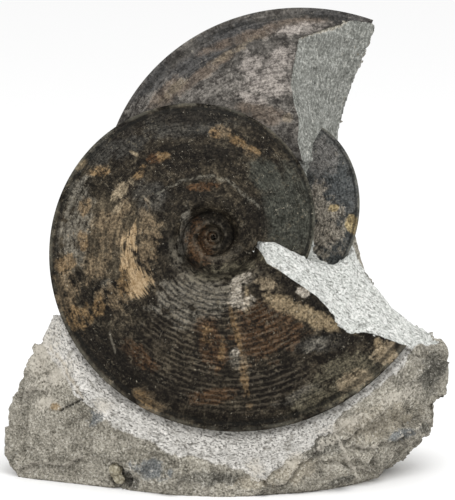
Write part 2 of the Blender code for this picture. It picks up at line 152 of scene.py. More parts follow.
def polar(coil, place, turns):
    """(share across the whorl, angle in degrees) of a place in the leaning plane, some turns along."""
    across = place[0] - coil["centre"][0]
    along = place[1] - coil["centre"][1]
    shifted = shift_share(math.hypot(across, along))
    across -= coil["shift"][0] * shifted
    along -= coil["shift"][1] * shifted
    angle = math.degrees(math.atan2(along, across)) + 360 * turns
    return (math.hypot(across, along) / coil_at(coil, angle) - UMBILICUS) / (1 - UMBILICUS), angle


def leaning_to_world(x, up, out):
    """Places in the leaning plane as points of the scene, both in millimetres."""
    y = up * math.sin(LEAN) - out * math.cos(LEAN) - FOOT_MIDDLE
    z = up * math.cos(LEAN) + out * math.sin(LEAN)
    return np.stack([x, y, z], -1)


def world_to_leaning(points):
    """The opposite of leaning_to_world."""
    y = points[:, 1] + FOOT_MIDDLE
    up = y * math.sin(LEAN) + points[:, 2] * math.cos(LEAN)
    out = points[:, 2] * math.sin(LEAN) - y * math.cos(LEAN)
    return points[:, 0], up, out


def to_pixels(x, up, out):
    """Where the camera sees a place, in photograph pixels."""
    nearer = 1 - out / VIEW_DISTANCE
    px = PIXEL_ZERO[0] + x / nearer / PIXEL
    py = PIXEL_ZERO[1] - (VIEW_UP + (up - VIEW_UP) / nearer) / PIXEL
    return px, py


# ---- noise for moving vertices


def lattice(cell, seed):
    """A random number from 0 to 1 for each whole-number cell."""
    x, y, z = (cell[..., i].astype(np.int64) for i in range(3))
    mixed = (x * 73856093) ^ (y * 19349663) ^ (z * 83492791) ^ (seed * 40503 + 977)
    mixed = ((mixed ^ (mixed >> 13)) * 1274126177) & 0x7FFFFFFF
    mixed = ((mixed ^ (mixed >> 15)) * 668265263) & 0x7FFFFFFF
    return ((mixed ^ (mixed >> 12)) & 0xFFFFF) / 0xFFFFF


def between(base, share, value_at):
    """Values part way between the eight corners of each cell. value_at gives a corner's value."""
    total = np.zeros(len(base))
    for corner in np.ndindex(2, 2, 2):
        weight = np.prod(np.where(corner, share, 1 - share), axis=-1)
        total += weight * value_at(base + np.array(corner))
    return total


def soft_noise(points, size, seed):
    """Random values from -1 to 1 that change over the given size."""
    place = points / size
    base = np.floor(place)
    return 2 * between(base, smooth(place - base, 0, 1), lambda cell: lattice(cell, seed)) - 1


def rough_noise(points, size, seed, octaves=4, keep=0.5):
    """soft_noise added up at smaller and smaller sizes."""
    total = np.zeros(len(points))
    for octave in range(octaves):
        total += keep ** octave * soft_noise(points + 31.7 * octave, size / 2 ** octave, seed + octave)
    return total


def cells(points, size, seed):
    """The nearest scattered seed to each point: how far off, in which direction, and three marks."""
    place = points / size
    base = np.floor(place)
    nearest = np.full(len(points), 9.0)
    offset = np.zeros_like(place)
    marks = np.zeros_like(place)
    for step in np.ndindex(3, 3, 3):
        cell = base + np.array(step) - 1
        spot = cell + np.stack([lattice(cell, seed + i) for i in range(3)], -1)
        away = np.linalg.norm(place - spot, axis=-1)
        closer = away < nearest
        nearest = np.where(closer, away, nearest)
        offset[closer] = (place - spot)[closer]
        marks[closer] = np.stack([lattice(cell[closer], seed + 3 + i) for i in range(3)], -1)
    return nearest, offset, marks


def broken_faces(points, size, seed, steepness):
    """Heights of a surface broken into tilted faces of about the given size."""
    warp = np.stack([soft_noise(points, size * 0.6, seed + i) for i in range(3)], -1)
    _, offset, marks = cells(points + size * 0.2 * warp, size, seed)
    return size * steepness * np.sum(offset * (2 * marks - 1), axis=-1)


def patch_mask(px, py, patches):
    """1 in the middle of any patch, 0 on its edge, down to -1 far outside.

    A patch is (x, y, half width, half height, tilt in degrees, clockwise)."""
    best = np.full(px.shape, -1.0)
    for x, y, half_width, half_height, tilt in patches:
        turn = math.radians(tilt)
        along = ((px - x) * math.cos(turn) + (py - y) * math.sin(turn)) / half_width
        across = ((py - y) * math.cos(turn) - (px - x) * math.sin(turn)) / half_height
        best = np.maximum(best, 1 - np.hypot(along, across))
    return best


def line_distance(px, py, line):
    """Distance from each place to a line of points."""
    best = np.full(px.shape, 1e9)
    for (ax, ay), (bx, by) in zip(line, line[1:]):
        dx, dy = bx - ax, by - ay
        share = np.clip(((px - ax) * dx + (py - ay) * dy) / (dx * dx + dy * dy), 0, 1)
        best = np.minimum(best, np.hypot(px - ax - share * dx, py - ay - share * dy))
    return best


def inside_distance(px, py, outline):
    """Distance to an outline, positive inside it and negative outside."""
    closed = list(outline) + [outline[0]]
    inside = np.zeros(px.shape, bool)
    for (ax, ay), (bx, by) in zip(closed, closed[1:]):
        if ay == by:
            continue
        crosses = (ay > py) != (by > py)
        inside ^= crosses & (px < (bx - ax) * (py - ay) / (by - ay) + ax)
    return line_distance(px, py, closed) * np.where(inside, 1, -1)


# ---- meshes


def add_object(name, data):
    """A new object in the scene."""
    obj = bpy.data.objects.new(name, data)
    bpy.context.scene.collection.objects.link(obj)
    return obj


def make_object(name, points, faces, attributes=None):
    """A smooth mesh object from points in millimetres, with float or vector attributes on its vertices."""
    mesh = bpy.data.meshes.new(name)
    mesh.from_pydata((points * MM).tolist(), [], faces)
    mesh.validate()
    form = bmesh.new()
    form.from_mesh(mesh)
    bmesh.ops.recalc_face_normals(form, faces=form.faces)
    if form.calc_volume(signed=True) < 0:
        bmesh.ops.reverse_faces(form, faces=form.faces)
    form.to_mesh(mesh)
    form.free()
    for key, values in (attributes or {}).items():
        vector = values.ndim == 2
        layer = mesh.attributes.new(key, "FLOAT_VECTOR" if vector else "FLOAT", "POINT")
        layer.data.foreach_set("vector" if vector else "value", values.astype(np.float32).ravel())
    mesh.polygons.foreach_set("use_smooth", [True] * len(mesh.polygons))
    return add_object(name, mesh)


def tube_faces(columns, rows, back_rows):
    """Faces of a tube of rings, each end closed straight through from its front rows to its back ones."""
    count = len(rows) + len(back_rows)
    column, row = np.meshgrid(np.arange(columns - 1), np.arange(count), indexing="ij")
    after = (row + 1) % count
    low, high = column * count, (column + 1) * count
    faces = np.stack([low + row, low + after, high + after, high + row], -1).reshape(-1, 4).tolist()
    front, back = len(rows) - 1, 0
    while front > 0 or back < len(back_rows) - 1:
        next_front = rows[front - 1] if front > 0 else -1
        next_back = back_rows[back + 1] if back < len(back_rows) - 1 else -1
        corners = [front, len(rows) + back]
        if next_front >= next_back:
            front -= 1
            corners.append(front)
        else:
            back += 1
            corners.append(len(rows) + back)
        faces.append(tuple(corners[::-1]))
        faces.append(tuple((columns - 1) * count + corner for corner in corners))
    return faces


def flank(s):
    """Height of the large disc's flank over its half thickness, across the whorl from 0 to 1."""
    shoulder = 0.42 + 0.58 * np.sin(np.clip(s / OPENING_EDGE, 0, 1) * math.pi / 2)
    return (1 - np.clip(s, 0, 1) ** FLANK_POWER) * shoulder


def whorl(name, coil, columns, start, end, rows, back_rows, relief):
    """A length of whorl as a closed tube.

    start(s) and end(s) give the angles that each row runs between. relief(places) gives how far the
    front is raised, in millimetres, and attributes for the vertices."""
    s = np.concatenate([rows, back_rows])
    side = np.repeat([1.0, -1.0], [len(rows), len(back_rows)])
    share = np.linspace(0, 1, columns)[:, None]
    angle = start(s) * (1 - share) + end(s) * share
    radius = coil_at(coil, angle)
    if coil is MAIN:
        at_seam = coil["thick"] * radius * flank(SEAM) / coil["growth"]
        height = np.where(s == 0, at_seam, coil["thick"] * radius * flank(s))
    else:
        height = coil["thick"] * radius * (1 - s ** FLANK_POWER)
    keel = np.sqrt(np.clip(1 - ((s - KEEL_START) / (1 - KEEL_START)).clip(0, 1) ** 4, 0, 1))
    height = np.maximum(height, KEEL_HALF_WIDTH * radius * (0.45 + 0.55 * keel))
    rho = radius * (UMBILICUS + (1 - UMBILICUS) * s)

    x, up, out = on_coil(coil, angle, rho, side * height)
    px, py = to_pixels(x, up, out)
    places = {"angle": angle, "s": np.broadcast_to(s, angle.shape), "px": px, "py": py,
              "size": radius / RELIEF_RADIUS, "side": np.broadcast_to(side, angle.shape)}
    places = {key: values.ravel() for key, values in places.items()}
    places["point"] = leaning_to_world(x, up, out).reshape(-1, 3)
    lift, attributes = relief(places)
    raised = on_coil(coil, angle, rho, side * (height + lift.reshape(angle.shape)))
    points = leaning_to_world(*raised).reshape(-1, 3)
    return make_object(name, points, tube_faces(columns, rows, back_rows), attributes)


def edge_angle(coil, edge, raggedness, seed, turns=0):
    """The angle of a broken edge as a function of the row, a little ragged."""
    known, angles = zip(*sorted(polar(coil, place, turns) for place in edge))

    def at(s):
        line = np.stack([s * 60, np.zeros(s.size), np.zeros(s.size)], -1)
        return np.interp(s, known, angles) + raggedness * rough_noise(line, 4.0, seed, 3)

    return at


def constant(value):
    """A function of the row that is the same everywhere."""
    return lambda s: np.full_like(s, value)


def spaced(*parts):
    """Numbers from low to high for each (low, high, count) in turn, with none twice."""
    lines = [np.linspace(*part) for part in parts]
    return np.concatenate([line[:-1] for line in lines[:-1]] + lines[-1:])


# ---- material nodes


def paint(colour):
    """A colour as the shader's linear numbers."""
    return tuple(((c / 255 + 0.055) / 1.055) ** 2.4 if c > 10 else c / 3295 for c in colour) + (1.0,)


class Stone:
    """One material, built a node at a time. Sizes are in millimetres."""

    def __init__(self, name):
        self.material = bpy.data.materials.new(name)
        self.material.use_nodes = True
        self.nodes = self.material.node_tree.nodes
        self.place = self.node("TexCoord", {})["Object"]
        self.seed = 0  # moves each noise to a place of its own

    def feed(self, socket, value):
        """Sets a socket to a number, a list of numbers or a colour, or links it to another."""
        if isinstance(value, bpy.types.NodeSocket):
            self.material.node_tree.links.new(value, socket)
        else:
            socket.default_value = paint(value) if isinstance(value, tuple) else value

    def node(self, kind, inputs, **settings):
        """The outputs of a new node."""
        node = self.nodes.new("ShaderNode" + kind)
        for key, value in settings.items():
            setattr(node, key, value)
        for key, value in inputs.items():
            self.feed(node.inputs[key], value)
        return node.outputs

    def attribute(self, name, part="Fac"):
        return self.node("Attribute", {}, attribute_name=name)[part]

    def noise(self, size, detail, rough, distortion=0.0, stretch=(1, 1, 1), turn=0, where=None, unit=MM):
        """Noise of a size, along axes that may be stretched, and turned about Y."""
        self.seed += 1
        place = self.node("Mapping", {
            "Vector": where or self.place,
            "Location": [self.seed * 0.137 * n for n in (1, 2, 3)],
            "Rotation": [0, math.radians(turn), 0],
            "Scale": [size * unit * n for n in stretch],
        }, vector_type="TEXTURE")["Vector"]
        return self.node("TexNoise", {"Vector": place, "Scale": 1.0, "Detail": detail, "Roughness": rough,
                                      "Distortion": distortion})["Fac"]

    def sum(self, operation, first, second=0.0, third=0.0):
        return self.node("Math", {0: first, 1: second, 2: third}, operation=operation)[0]

    def times(self, first, second):
        return self.sum("MULTIPLY", first, second)

    def blend(self, first, *others):
        """Values added up, each given with its weight."""
        total = self.times(*first)
        for value, weight in others:
            total = self.sum("MULTIPLY_ADD", value, weight, total)
        return total

    def step(self, value, low, high, least=0.0, most=1.0):
        """A smooth change from least to most as the value goes from low to high."""
        if low > high:
            low, high, least, most = high, low, most, least
        return self.node("MapRange", {"Value": value, "From Min": low, "From Max": high, "To Min": least,
                                      "To Max": most}, interpolation_type="SMOOTHSTEP")["Result"]

    def both(self, first, second):
        """1 where two values, each given with its low and high, are both high."""
        return self.times(self.step(*first), self.step(*second))

    def mix(self, share, first, second, mode="MIX"):
        inputs = {"Factor": share, 6: first, 7: second}
        return self.node("Mix", inputs, data_type="RGBA", blend_type=mode)[2]

    def cover(self, colour, *covers):
        """A colour with others laid over it in turn, each given with its share and strength."""
        for share, strength, tone in covers:
            colour = self.mix(self.times(share, strength), colour, tone)
        return colour

    def ramp(self, value, stops):
        colour = self.node("ValToRGB", {"Fac": value})["Color"]
        elements = colour.node.color_ramp.elements
        while len(elements) < len(stops):
            elements.new(0.5)
        for element, (spot, tone) in zip(elements, stops):
            element.position = spot
            element.color = paint(tone)
        return colour

    def patchy(self, name, grain, ragged, soft, edge=0.0, fill=1.0):
        """Share of a patch kind at a place, broken up by a noise: inside it too where fill is small."""
        mask = self.sum("MINIMUM", self.attribute(name), fill)
        raised = self.sum("MULTIPLY_ADD", self.sum("SUBTRACT", grain, 0.5), ragged, mask)
        return self.step(raised, edge - soft, edge + soft)

    def finish(self, colour, roughness, height, depth, specular=0.5):
        """The material, bumped by a height over a depth."""
        bump = self.node("Bump", {"Height": height, "Strength": 1.0, "Distance": depth * MM})["Normal"]
        surface = self.nodes["Principled BSDF"].inputs
        self.feed(surface["Base Color"], colour)
        self.feed(surface["Roughness"], roughness)
        self.feed(surface["Normal"], bump)
        surface["Specular IOR Level"].default_value = specular
        return self.material


# ---- the rock

VOXEL = 1.15
FOSSIL_VOXEL = 0.45
ROCK_TRIANGLES = 190000
BAND = 8.0  # voxels of distance kept on each side of a surface
CREVICE = 0.4  # how far from both a shell and the rock their clearance is filled
UNDER_ROCK = (2.4, 0.4)  # how far from the rock, and how far under a skin, rock fills a shell's room
# How far under each solid's skin its room is filled with rock.
FILL_DEPTHS = {"main_ammonite": 4.5, "rear_ammonite": 1.8, "side_ammonite": 1.8, "small_fossil": 1.2}
OVERSIZE = 1.5  # how far the stone may stand past the solids' box

FACES = {"size": 20.0, "seed": 5}  # broken faces of the natural stone, and the chips on them
FACE_SQUASH = (1, 1, 1.3)
CHIPS = {"size": 8.0, "seed": 15}
LEDGE_REACH = 11  # pixels above and below a ledge that its step runs out over
LEDGE_HEIGHT = 1.5
CRACK_DEPTH = 2.2
CORNER_HEIGHT = 5.0
FLAT_FOOT = 0.6  # below this height the stone isn't moved at all

# Lines and marks on the stone, in photograph pixels.
CRACK = ((62, 411), (66, 408.5), (73, 406.5), (78, 403), (84, 400.5))
THIN_VEIN = ((52.6, 346.7), (62, 361), (73, 380), (84.5, 399))
PALE_RIDGE = ((334, 432), (340, 446), (350, 463), (356, 476))
RIGHT_RIDGE = ((424, 333), (418, 345), (412, 354), (404, 368))
CORNER = ((441, 347), (443, 372))  # the lifted top right corner
RUGGED_RIGHT = (300, 340)  # x over which the stone at the foot grows more rugged
TONED_FROM = 130  # x from which each broken face has a tone of its own
NOTCHES = ((317, 255, 13, 2.0), (254.5, 249, 6, 2.5))  # x, y, reach, and millimetres taken off
PIT = (51.3, 219.5, -38.0)  # where the worked face meets the two shells behind it
PIT_RADIUS = 5.5
LEDGES = (
   ((346, 446), (365, 447), (385, 440), (402, 432), (416, 423)),
    ((354, 466), (374, 466), (391, 456), (407, 445)), ((392, 451), (404, 443), (419, 436), (431, 428)),
    ((262, 479), (272, 486), (288, 480), (300, 466), (318, 452), (334, 441)),
    ((384, 408), (372, 420), (352, 434), (337, 441)), ((16, 470), (40, 462), (62, 466), (84, 458)),
    ((20, 396), (36, 388), (52, 392)),
)
ROCK_PATCHES = {
    "beige": ((378, 422, 34, 15, -18), (300, 470, 22, 9, -10), (250, 482, 24, 6, 0)),
    # The dark patch at (341, 480) is painted shadow under the overhang; the rest are darker stone.
    "dark": ((320, 449, 27, 9, -12), (341, 480, 12, 5, -15), (427, 427, 7, 5, -10), (132, 483, 6, 6, 0),
        (430, 370, 10, 20, 15), (210, 478, 30, 7, 0)),
    "blue": ((96, 418, 7, 7, 0), (150, 470, 20, 8, 10), (400, 432, 14, 5, -20)),
    "rusty": ((389, 306, 7, 12, 40), (58, 408, 4, 4, 0), (375, 287, 3, 9, -30)),
    "pale": ((48, 402, 8, 6, 0), (104, 407, 8, 6, 0), (345, 425, 24, 4, -20), (396, 395, 14, 5, -30),
        (46, 352, 12, 24, 20), (60, 374, 16, 10, -30), (256, 470, 8, 7, 20), (294, 462, 12, 5, -35)),
}


def grid_round(low, high, voxel):
    """The lowest voxel and the shape of a grid round a box in metres."""
    first = np.floor(np.array(low) / MM / voxel).astype(int) - 4
    last = np.ceil(np.array(high) / MM / voxel).astype(int) + 5
    return first, tuple(last - first)


def distance_grid(node, low, shape, voxel):
    """Distance to a node's surface, negative inside, at each voxel."""
    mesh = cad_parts[node].data
    mesh.calc_loop_triangles()
    points = np.empty(len(mesh.vertices) * 3, np.float32)
    mesh.vertices.foreach_get("co", points)
    faces = np.empty(len(mesh.loop_triangles) * 3, np.int32)
    mesh.loop_triangles.foreach_get("vertices", faces)
    grid = openvdb.FloatGrid.createLevelSetFromPolygons(
        (points.reshape(-1, 3) / MM).astype(np.float32),
        triangles=faces.reshape(-1, 3).astype(np.uint32),
        transform=openvdb.createLinearTransform(voxelSize=voxel),
        halfWidth=BAND,
    )
    values = np.empty(shape, np.float32)
    grid.copyToArray(values, ijk=tuple(int(v) for v in low))
    return values


def mesh_from_grid(values, low, voxel):
    """(points, faces, normals) of the surface where the values are 0."""
    grid = openvdb.FloatGrid(float(BAND * voxel))
    grid.transform = openvdb.createLinearTransform(voxelSize=voxel)
    grid.copyFromArray(values, ijk=tuple(int(v) for v in low), tolerance=0.0)
    points, triangles, quads = grid.convertToPolygons(isovalue=0.0, adaptivity=0.0)
    points = points.astype(float)
    normals = np.zeros_like(points)
    for corners in (triangles, quads):
        if not len(corners):
            continue
        facing = np.cross(points[corners[:, 2]] - points[corners[:, 0]],
                          points[corners[:, -1]] - points[corners[:, 1]])
        for i in range(corners.shape[1]):
            np.add.at(normals, corners[:, i], facing)
    normals /= np.maximum(np.linalg.norm(normals, axis=1), 1e-9)[:, None]
    if np.sum(normals * (points - points.mean(axis=0))) < 0:
        normals = -normals
    return points, triangles.tolist() + quads.tolist(), normals


def rock_distance():
    """The rock with its clearances closed, and the shells' room filled to under their skins."""
    low, shape = grid_round(cad_low, cad_high, VOXEL)
    rock = distance_grid("matrix_rock", low, shape, VOXEL)
    for node, depth in FILL_DEPTHS.items():
        shell = distance_grid(node, low, shape, VOXEL)
        under = np.maximum(rock - UNDER_ROCK[0], shell + UNDER_ROCK[1])
        crevice = np.maximum(rock, shell) - CREVICE
        rock = np.minimum(np.minimum(rock, shell + depth), np.minimum(under, crevice))
    pit = leaning_to_world(*PIT) / VOXEL - low
    near = tuple(slice(int(c - BAND), int(c + BAND + 1)) for c in pit)
    steps = np.stack(np.meshgrid(*(np.arange(s.start, s.stop) for s in near), indexing="ij"), -1)
    plug = np.linalg.norm(steps - pit, axis=-1) * VOXEL - PIT_RADIUS
    rock[near] = np.minimum(rock[near], plug)
    return rock, low


def sample(values, points, low):
    """The grid's values at points, read between voxels."""
    place = points / VOXEL - low
    base = np.clip(np.floor(place).astype(int), 0, np.array(values.shape) - 2)
    return between(base, place - base, lambda cell: values[tuple(cell.T)])


def ledge_step(px, py, line):
    """A sharp step down below a line that runs across the picture."""
    line = sorted(line)
    below = py - np.interp(px, *zip(*line))
    ends = smooth(px, line[0][0] - 3, line[0][0] + 5) * smooth(px, line[-1][0] + 3, line[-1][0] - 5)
    above = smooth(below, -LEDGE_REACH, -0.7) * (below < 0)
    return ends * (above - smooth(below, LEDGE_REACH, 0.7) * (below >= 0))


def worked_masks(points, normals):
    """Where the stone was worked: the band round the large disc, the slope and the facet."""
    x, up, out = world_to_leaning(points)
    px, py = to_pixels(x, up, out)
    across, along = x - MAIN["centre"][0], up - MAIN["centre"][1]
    angle = np.degrees(np.arctan2(along, across)) % 360
    away = np.hypot(across, along) - coil_at(MAIN, angle)
    ragged = rough_noise(points, 9.0, 11, 3)
    faces_front = smooth(-normals[:, 1], -0.35, 0.05)
    band = smooth(np.interp(angle, *zip(*BAND_REACH)) + 2.2 * ragged - away, -1.5, 1.5)
    band = band * smooth(away, -40, -30) * faces_front * smooth(out, -34, -28)
    band = band * ((angle > BAND_REACH[0][0]) & (angle < BAND_REACH[-1][0] + 1))
    slope = smooth(inside_distance(px, py, SLOPE_OUTLINE) + 1.0 + ragged, -1.0, 1.0)
    slope = slope * smooth(-normals[:, 1] + normals[:, 2], -0.5, 0.0) * smooth(out, -60, -45)
    facet = smooth(inside_distance(px, py, FACET_OUTLINE) + 1.0 + ragged, -1.0, 1.0)
    return band, slope, facet * faces_front * smooth(out, -80, -70)


def make_rock():
    """The limestone block: broken natural stone, and worked stone round the shells."""
    values, low = rock_distance()
    points, faces, normals = mesh_from_grid(values, low, VOXEL)
    x, up, out = world_to_leaning(points)
    px, py = to_pixels(x, up, out)
    band, slope, facet = worked_masks(points, normals)
    worked = np.maximum(np.maximum(band, slope), facet)
    natural = 1 - worked

    rugged = np.maximum(smooth(up, 150, 100), smooth(normals[:, 1], 0.3, 0.8))
    rugged = rugged * (1 + 0.5 * smooth(px, *RUGGED_RIGHT) * smooth(up, 70, 40))
    broken = broken_faces(points * FACE_SQUASH, **FACES, steepness=0.24)
    broken += broken_faces(points, **CHIPS, steepness=0.2)
    broken = (broken + 0.5 * rough_noise(points, 26.0, 21, 3) + 0.5) * rugged
    crumbs = rough_noise(points, 5.0, 31, 4, 0.65)
    small, _, small_marks = cells(points + soft_noise(points, 3, 7)[:, None], 4.2, 41)
    pits = smooth(small, 0.42, 0.1) * (small_marks[:, 0] > 0.55)
    move = natural * (broken + (0.5 * crumbs - 0.8 * pits) * (0.35 + 0.65 * rugged))
    pecks, _, peck_marks = cells(points, 2.6, 51)
    pecked = 0.4 * rough_noise(points, 5.0, 61, 3) - 0.6 * smooth(pecks, 0.5, 0.15) * peck_marks[:, 0]
    move += (worked - 0.6 * facet) * pecked + 0.8 * band

    front = smooth(-normals[:, 1], -0.2, 0.2)
    px = px + 2.2 * rough_noise(points, 9.0, 71, 3)
    py = py + 2.2 * rough_noise(points, 9.0, 81, 3)

    def near(line, reach, core):
        return smooth(line_distance(px, py, line), reach, core)

    crack = near(CRACK, 1.3, 0.3) * front
    steps = sum(ledge_step(px, py, line) for line in LEDGES)
    move -= CRACK_DEPTH * crack * (up < 90)
    move += CORNER_HEIGHT * near(CORNER, 14, 2)
    move += front * (near(PALE_RIDGE, 5.0, 0.5) + 1.6 * near(RIGHT_RIDGE, 6.0, 0.5))
    move += natural * front * LEDGE_HEIGHT * np.clip(steps, -1, 1)

    hidden = np.minimum.reduce([
        sample(distance_grid(node, low, values.shape, VOXEL), points, low)
        for node in ("main_ammonite", "rear_ammonite", "side_ammonite")
    ])
    move *= smooth(hidden, -0.6, 2.5)
    for notch_x, notch_y, reach, depth in NOTCHES:
        move -= front * depth * smooth(np.hypot(px - notch_x, py - notch_y), reach, 0.5 * reach)
    move = np.where(points[:, 2] < FLAT_FOOT, 0, move) * smooth(points[:, 2], 0.0, 6.0)
    limits = np.array(cad_low) / MM - OVERSIZE, np.array(cad_high) / MM + OVERSIZE
    points = np.clip(points + normals * move[:, None], *limits)
    points[:, 2] = np.maximum(points[:, 2], 0.0)

    masks = {kind: patch_mask(px, py, patches) for kind, patches in ROCK_PATCHES.items()}
    attributes = {kind: masks[kind] * front - (1 - front) for kind in ("beige", "dark", "blue", "rusty")}
    # Painted highlight: a pale line along the lit edge of each ledge.
    ledge_highlight = np.maximum.reduce([near(line, 2.4, 0.3) for line in LEDGES])
    pale = np.maximum.reduce([0.8 * near(PALE_RIDGE, 3.0, 0.5), 0.75 * ledge_highlight, 0.5 + 0.5 * masks["pale"]])
    _, _, face_marks = cells(points * FACE_SQUASH, **FACES)
    _, _, chip_marks = cells(points, **CHIPS)
    tone = 0.7 * face_marks[:, 1] + 0.3 * chip_marks[:, 1] - 0.5
    tone = tone * np.clip(rugged, 0, 1) * (px > TONED_FROM)
    shadow = smooth(-steps, 0.5, 0.9) * front
    # Painted light and shade on the worked facet: lighter low down, to lift the shadow of the disc's keel,
    # darker higher up.
    facet_light_and_shade = 0.35 * facet * (smooth(up, 235, 212) - 0.4)
    attributes.update({
        "worked": worked, "slope": slope, "facet": facet, "crack": crack, "pale": pale * front,
        "vein": near(THIN_VEIN, 1.6, 0.4) * front,
        # tone: a random tone for each broken face, with the painted shadow under the ledges and the painted
        # light and shade on the facet
        "tone": 0.55 + natural * (tone - 0.8 * shadow) + facet_light_and_shade,
    })
    rock = make_object("rock_block", points, faces, attributes)
    thin = rock.modifiers.new("thin", "DECIMATE")
    thin.ratio = min(1.0, ROCK_TRIANGLES / (2 * len(faces)))
    graph = bpy.context.evaluated_depsgraph_get()
    thinned = bpy.data.meshes.new_from_object(rock.evaluated_get(graph))
    rock.modifiers.clear()
    rock.data = thinned
    return rock


def rock_material():
    """Warm grey limestone, dark pitted where broken, pale and pecked where worked."""
    stone = Stone("limestone")
    broad = stone.noise(30, 5, 0.6)
    middle = stone.noise(6, 6, 0.68, distortion=0.3)
    fine = stone.noise(1.6, 4, 0.7)
    grain = stone.noise(1.2, 2, 0.6)
    speck = stone.noise(1.7, 3, 0.7, distortion=0.6)

    mixed = stone.blend((middle, 0.25), (broad, 0.15), (fine, 0.35), (grain, 0.25))
    body = stone.ramp(mixed, ((0.38, (78, 75, 67)), (0.45, (117, 113, 102)), (0.50, (147, 142, 130)),
                              (0.56, (171, 166, 154)), (0.64, (204, 199, 187))))
    for kind, low, medium, high in (
        ("beige", (106, 100, 88), (148, 141, 126), (180, 173, 158)),
        ("dark", (56, 54, 48), (98, 95, 87), (140, 137, 127)),
        ("blue", (78, 80, 80), (116, 118, 117), (150, 152, 150)),
    ):
        tone = stone.ramp(mixed, ((0.40, low), (0.50, medium), (0.60, high)))
        body = stone.mix(stone.patchy(kind, middle, 3.0, 0.3), body, tone)
    body = stone.cover(
        body,
        (stone.patchy("rusty", middle, 3.0, 0.3), 0.6, (150, 122, 78)),
        (stone.step(speck, 0.58, 0.66), 0.75, (204, 200, 190)),
        (stone.step(speck, 0.41, 0.33), 0.8, (64, 60, 52)),
    )

    strokes = stone.noise(1.25, 3, 0.6, stretch=(0.8, 1.0, 2.6), turn=-51)
    other_strokes = stone.noise(1.3, 3, 0.6, stretch=(1.6, 1.0, 0.8), turn=15)
    hollows = stone.sum("MAXIMUM", stone.step(strokes, 0.44, 0.34), stone.step(other_strokes, 0.41, 0.33))
    chalk = stone.blend((fine, 0.65), (middle, 0.35))
    pale = stone.cover(
        stone.ramp(chalk, ((0.38, (160, 157, 150)), (0.48, (198, 195, 189)), (0.60, (230, 227, 221)))),
        (hollows, 0.8, (100, 97, 90)),
        (stone.step(middle, 0.46, 0.36), 0.5, (140, 136, 127)),
    )
    white = stone.cover(
        stone.ramp(chalk, ((0.38, (166, 168, 162)), (0.48, (204, 206, 201)), (0.60, (236, 236, 232)))),
        (hollows, 0.6, (118, 117, 109)),
    )
    hatch = stone.noise(1.2, 4, 0.65, stretch=(0.7, 1.0, 3.2), turn=12)
    face = stone.ramp(stone.blend((chalk, 0.6), (hatch, 0.4)), (
        (0.38, (82, 83, 78)), (0.50, (132, 133, 127)), (0.60, (182, 183, 177))))
    worked = stone.mix(stone.patchy("slope", fine, 1.2, 0.25, 0.5), pale, white)
    worked = stone.mix(stone.patchy("facet", fine, 1.2, 0.25, 0.5), worked, face)
    colour = stone.mix(stone.patchy("worked", fine, 1.6, 0.25, 0.5), body, worked)
    # The tone attribute also darkens under the ledges and lightens the facet low down: painted shadow and
    # light.
    tone = stone.step(stone.attribute("tone"), 0.0, 1.0, 0.77, 1.165)
    tone = stone.times(tone, stone.step(grain, 0.36, 0.64, 0.88, 1.10))
    colour = stone.cover(
        stone.mix(1.0, colour, tone, "MULTIPLY"),
        # pale crust, and the painted highlight along the ledge edges
        (stone.patchy("pale", fine, 3.0, 0.3, 0.5), 0.65, (204, 197, 184)),
        (stone.attribute("vein"), 0.5, (168, 152, 124)),
        (stone.attribute("crack"), 1.0, (34, 32, 28)),
    )
    pecked = stone.sum("MULTIPLY_ADD", stone.attribute("facet"), -0.7, stone.attribute("worked"))
    height = stone.blend((grain, 0.35), (fine, 0.7), (middle, 0.5), (stone.times(hollows, pecked), -0.5))
    roughness = stone.step(middle, 0.3, 0.7, 0.82, 0.97)
    return stone.finish(colour, roughness, height, depth=1.5, specular=0.2)


# ---- the shells

KEEL_GROOVE = 0.945  # across the whorl
KEEL_FADE = 0.975  # from here out the relief dies away
ALONG = 1.6  # the shell's own coordinates: millimetres to a degree along the coil,
ACROSS = 85  # to the width of the whorl,
SIDES = 50  # and from the middle to either side
THREADS = 29  # spiral threads across the whorl
# The back of the shells, from the keel in.
BACK_ROWS = np.array([0.985, 0.968, 0.94, 0.9, 0.85, 0.78, 0.7, 0.6, 0.48, 0.36, 0.24, 0.12])
MAIN_BACK_ROWS = np.array([0.985, 0.96, 0.93, 0.88, 0.8, 0.68, 0.55, 0.4, 0.25, 0.12, 0.05, 0.0])
OLDER_BACK_ROWS = np.array([0.85, 0.6, 0.35, 0.12, 0.0])

